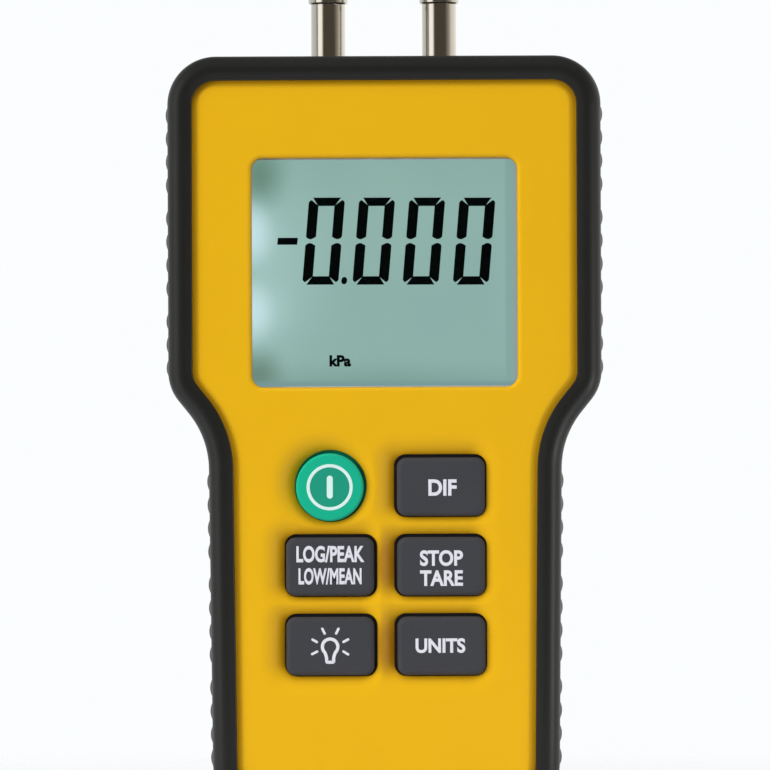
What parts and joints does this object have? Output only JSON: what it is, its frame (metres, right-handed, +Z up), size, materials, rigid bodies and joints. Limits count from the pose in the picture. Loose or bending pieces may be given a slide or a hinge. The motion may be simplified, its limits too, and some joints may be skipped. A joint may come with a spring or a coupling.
{
  "type": "digital manometer",
  "caption": "Handheld differential pressure meter in a ribbed rubber boot, with a lit display, spring-return keys, hose barbs, battery door and tilt stand.",
  "frame": {"origin": "middle of the flat base of the boot", "axes": "+Z up towards the hose barbs, -Y the display side, +X to the right of the display"},
  "size_m": [0.076, 0.036, 0.1495],
  "materials": {
    "boot_rubber": "moulded, satin",
    "yellow_abs": "moulded, fine grain",
    "black_abs": "moulded, fine grain",
    "clear_acrylic": "clear, polished",
    "adhesive": "matte",
    "display_glass": "lit display",
    "film": "smooth",
    "white_plastic": "moulded",
    "guide_acrylic": "polished",
    "diode": "moulded",
    "elastic_connector": "moulded",
    "board": "solder mask",
    "chip_epoxy": "moulded",
    "can_aluminium": "drawn",
    "sleeve": "shrink sleeve",
    "sensor_plastic": "moulded",
    "nickel": "nickel-plated, turned",
    "silicone_clear": "extruded",
    "silicone_grey": "moulded",
    "green_key": "moulded",
    "grey_key": "moulded",
    "carbon": "moulded",
    "battery_jacket": "printed steel",
    "snap_vinyl": "moulded",
    "red_wire": "extruded",
    "black_wire": "extruded",
    "foam": "open foam",
    "screw_steel": "zinc-plated"
  },
  "bodies": {
    "housing": {"rubber_boot": "boot_rubber", "front_case": "yellow_abs", "rear_case": "yellow_abs", "window_lens": "clear_acrylic", "lens_tape": "adhesive", "lcd_glass": "display_glass", "lcd_polariser": "film", "lcd_frame": "white_plastic", "zebra_strips": "elastic_connector", "backlight_guide": "guide_acrylic", "backlight_leds": "diode", "circuit_board": "board", "main_chip": "chip_epoxy", "amplifier_chips": "chip_epoxy", "capacitors": "sleeve", "crystal_can": "can_aluminium", "chip_resistors": "chip_epoxy", "pressure_sensor": "sensor_plastic", "port_left": "nickel", "port_right": "nickel", "tube_left": "silicone_clear", "tube_right": "silicone_clear", "keypad_mat": "silicone_grey", "battery": "battery_jacket", "battery_snap": "snap_vinyl", "lead_red": "red_wire", "lead_black": "black_wire", "case_screws": "screw_steel", "board_screws": "screw_steel"},
    "battery_door": {"battery_door": "yellow_abs", "battery_pad": "foam"},
    "tilt_stand": {"tilt_stand": "black_abs"},
    "power_key": {"key_power": "green_key", "pill_power": "carbon"},
    "differential_key": {"key_differential": "grey_key", "pill_differential": "carbon"},
    "record_key": {"key_record": "grey_key", "pill_record": "carbon"},
    "hold_key": {"key_hold": "grey_key", "pill_hold": "carbon"},
    "light_key": {"key_light": "grey_key", "pill_light": "carbon"},
    "scale_key": {"key_scale": "grey_key", "pill_scale": "carbon"}
  },
  "joints": [
    {"name": "press_power", "type": "slide", "parent": "housing", "child": "power_key", "axis": [0, 1, 0], "range_m": [0, 0.001], "stiffness_N_per_m": 600, "deforming": ["keypad_mat"]},
    {"name": "press_differential", "type": "slide", "parent": "housing", "child": "differential_key", "axis": [0, 1, 0], "range_m": [0, 0.001], "stiffness_N_per_m": 600, "deforming": ["keypad_mat"]},
    {"name": "press_record", "type": "slide", "parent": "housing", "child": "record_key", "axis": [0, 1, 0], "range_m": [0, 0.001], "stiffness_N_per_m": 600, "deforming": ["keypad_mat"]},
    {"name": "press_hold", "type": "slide", "parent": "housing", "child": "hold_key", "axis": [0, 1, 0], "range_m": [0, 0.001], "stiffness_N_per_m": 600, "deforming": ["keypad_mat"]},
    {"name": "press_light", "type": "slide", "parent": "housing", "child": "light_key", "axis": [0, 1, 0], "range_m": [0, 0.001], "stiffness_N_per_m": 600, "deforming": ["keypad_mat"]},
    {"name": "press_scale", "type": "slide", "parent": "housing", "child": "scale_key", "axis": [0, 1, 0], "range_m": [0, 0.001], "stiffness_N_per_m": 600, "deforming": ["keypad_mat"]},
    {"name": "door_hinge", "type": "hinge", "parent": "housing", "child": "battery_door", "pos_m": [0, 0.0153, 0.0089], "axis": [-1, 0, 0], "range_deg": [0, 85]},
    {"name": "stand_hinge", "type": "hinge", "parent": "housing", "child": "tilt_stand", "pos_m": [0, 0.0154, 0.1186], "axis": [1, 0, 0], "range_deg": [0, 50]}
  ]
}
